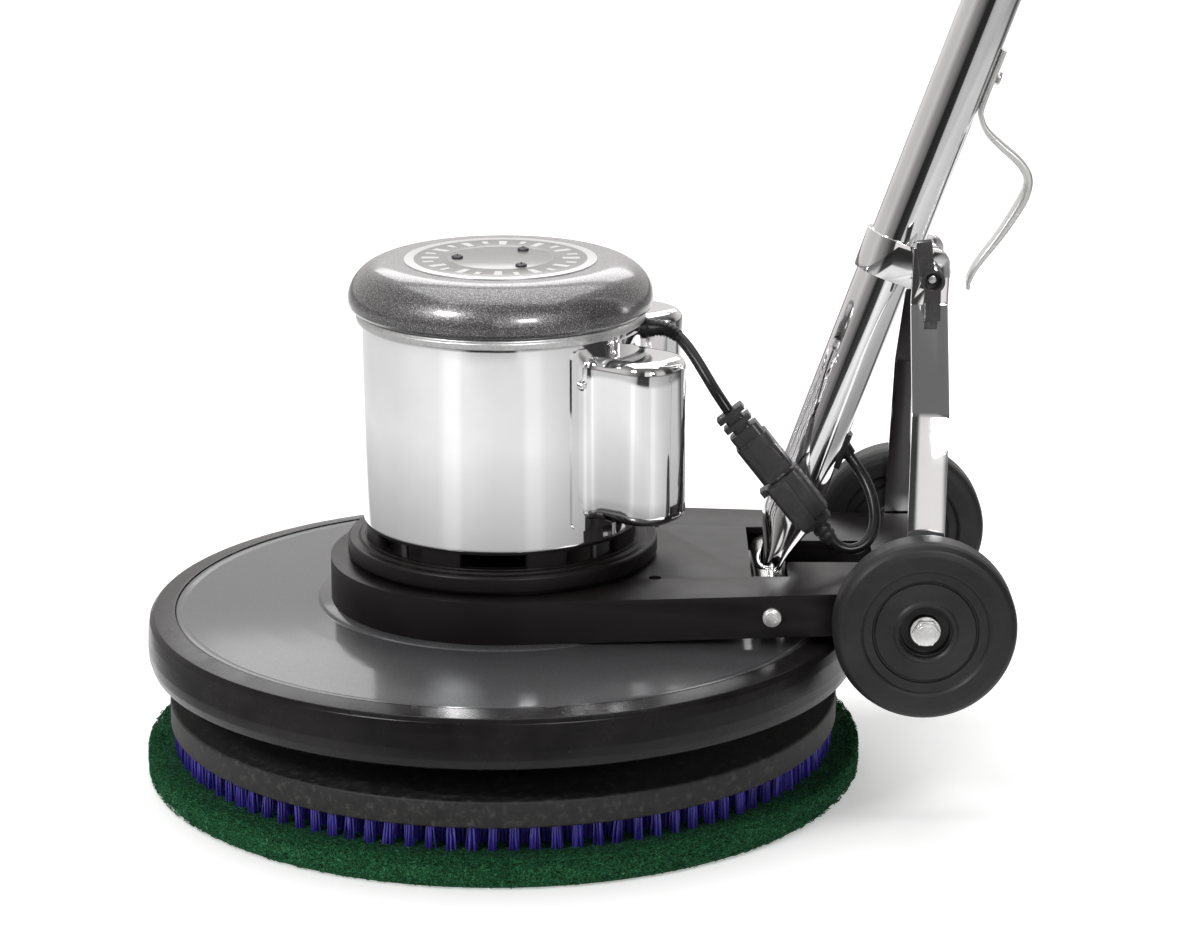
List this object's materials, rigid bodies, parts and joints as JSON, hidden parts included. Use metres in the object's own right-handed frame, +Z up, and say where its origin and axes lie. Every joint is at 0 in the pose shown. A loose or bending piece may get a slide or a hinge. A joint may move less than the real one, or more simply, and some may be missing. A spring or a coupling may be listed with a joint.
{
  "type": "rotary floor machine",
  "caption": "single-disc rotary floor machine: pad and brush drive under a bumper skirt, geared motor, two transport wheels and a tilting braced handle",
  "frame": {"origin": "centre of the pad's lower face, on the floor and on the axis of the motor", "axes": "+Z up along the motor axis, +X to the rear towards the wheels and the operator, +Y across the machine along the axle"},
  "size_m": [0.8476, 0.508, 1.187],
  "materials": {
    "green_pad": "matte",
    "blue_bristle": "satin",
    "brush_block": "matte",
    "hammertone": "satin",
    "bumper_rubber": "matte",
    "chassis_paint": "satin",
    "mirror_chrome": "polished",
    "zinc_steel": "satin",
    "machined_steel": "satin",
    "gear_bronze": "satin",
    "lamination": "matte",
    "copper_winding": "satin",
    "cast_aluminium": "satin",
    "badge_print": "gloss",
    "cord_rubber": "satin",
    "black_plastic": "satin",
    "wheel_rubber": "matte",
    "grip_rubber": "matte",
    "button_yellow": "gloss",
    "switch_body": "gloss"
  },
  "bodies": {
    "base": {"apron": "hammertone", "bumper": "bumper_rubber", "chassis": "chassis_paint", "gear_case": "chassis_paint", "ring_gear": "machined_steel", "output_bearing": "machined_steel", "motor_flange": "chassis_paint", "through_bolts": "zinc_steel", "motor_bearings": "machined_steel", "motor_shell": "mirror_chrome", "top_bell": "cast_aluminium", "motor_cap": "hammertone", "cap_badge": "badge_print", "cap_screws": "mirror_chrome", "stator_core": "lamination", "stator_windings": "copper_winding", "capacitor_cover_near": "mirror_chrome", "capacitor_cover_far": "mirror_chrome", "capacitors": "black_plastic", "cover_screws": "mirror_chrome", "motor_bushing": "cord_rubber", "motor_lead": "cord_rubber", "lead_plug": "black_plastic", "plug_blades": "zinc_steel", "lead_connector": "black_plastic", "pivot_pin": "zinc_steel", "axle_shaft": "zinc_steel", "axle_nuts": "mirror_chrome"},
    "drive": {"output_shaft": "machined_steel", "drive_hub": "machined_steel", "hub_bolt": "zinc_steel", "clutch_plate": "machined_steel", "block_screws": "zinc_steel", "brush_block": "brush_block", "bristles": "blue_bristle", "pad": "green_pad"},
    "planet_a": {"planet_1": "gear_bronze"},
    "planet_b": {"planet_2": "gear_bronze"},
    "planet_c": {"planet_3": "gear_bronze"},
    "rotor": {"rotor_shaft": "machined_steel", "rotor_core": "lamination", "cooling_fan": "black_plastic"},
    "near_wheel": {"wheel_near": "wheel_rubber"},
    "far_wheel": {"wheel_far": "wheel_rubber"},
    "handle": {"handle_tube": "mirror_chrome", "pivot_sleeve": "zinc_steel", "lead_gland": "cord_rubber", "handle_lead": "cord_rubber", "cord_hooks": "mirror_chrome", "hook_screws": "zinc_steel", "switch_box": "black_plastic", "power_switch": "switch_body", "handlebar": "mirror_chrome", "grips": "grip_rubber"},
    "clamp": {"clamp_band": "mirror_chrome", "clamp_bolt": "zinc_steel"},
    "lever": {"clamp_lever": "black_plastic"},
    "prop": {"brace": "mirror_chrome"},
    "trigger_bar": {"triggers": "black_plastic"},
    "lock": {"lock_button": "button_yellow"}
  },
  "joints": [
    {"name": "output_spin", "type": "hinge", "parent": "base", "child": "drive", "pos_m": [0, 0, 0], "axis": [0, 0, 1], "continuous": true},
    {"name": "rotor_spin", "type": "hinge", "parent": "base", "child": "rotor", "pos_m": [0, 0, 0.2], "axis": [0, 0, 1], "continuous": true},
    {"name": "planet_spin_1", "type": "hinge", "parent": "drive", "child": "planet_a", "pos_m": [0.0375, 0, 0.121], "axis": [0, 0, 1], "continuous": true},
    {"name": "planet_spin_2", "type": "hinge", "parent": "drive", "child": "planet_b", "pos_m": [-0.01875, 0.03248, 0.121], "axis": [0, 0, 1], "continuous": true},
    {"name": "planet_spin_3", "type": "hinge", "parent": "drive", "child": "planet_c", "pos_m": [-0.01875, -0.03248, 0.121], "axis": [0, 0, 1], "continuous": true},
    {"name": "near_wheel_spin", "type": "hinge", "parent": "base", "child": "near_wheel", "pos_m": [0.29, -0.12, 0.1375], "axis": [0, 1, 0], "continuous": true},
    {"name": "far_wheel_spin", "type": "hinge", "parent": "base", "child": "far_wheel", "pos_m": [0.29, 0.12, 0.1375], "axis": [0, 1, 0], "continuous": true},
    {"name": "handle_tilt", "type": "hinge", "parent": "base", "child": "handle", "pos_m": [0.187, 0, 0.139], "axis": [0, 1, 0], "range_deg": [-20, 25], "deforming": ["handle_lead"]},
    {"name": "clamp_slide", "type": "slide", "parent": "handle", "child": "clamp", "axis": [0.342, 0, 0.9397], "range_m": [-0.037, 0.0463]},
    {"name": "brace_swing", "type": "hinge", "parent": "clamp", "child": "prop", "pos_m": [0.29681, 0, 0.36029], "axis": [0, 1, 0], "range_deg": [-3.7, 4.63]},
    {"name": "lever_turn", "type": "hinge", "parent": "clamp", "child": "lever", "pos_m": [0.29681, 0, 0.36029], "axis": [0, 1, 0], "range_deg": [-90, 0]},
    {"name": "trigger_squeeze", "type": "hinge", "parent": "handle", "child": "trigger_bar", "pos_m": [0.55816, 0, 1.11491], "axis": [0, 1, 0], "range_deg": [0, 10], "stiffness_Nm_per_rad": 2, "springref_deg": -8.02},
    {"name": "lock_press", "type": "slide", "parent": "handle", "child": "lock", "axis": [-0.9397, 0, 0.342], "range_m": [0, 0.004], "stiffness_N_per_m": 400, "springref_m": -0.002}
  ],
  "couplings": [
    {"joint": "rotor_spin", "follows": "output_spin", "ratio": 10},
    {"joint": "planet_spin_1", "follows": "output_spin", "ratio": -2.25},
    {"joint": "planet_spin_2", "follows": "output_spin", "ratio": -2.25},
    {"joint": "planet_spin_3", "follows": "output_spin", "ratio": -2.25},
    {"joint": "clamp_slide", "follows": "handle_tilt", "m_per_rad": 0.10592},
    {"joint": "brace_swing", "follows": "handle_tilt", "ratio": 0.18486}
  ]
}
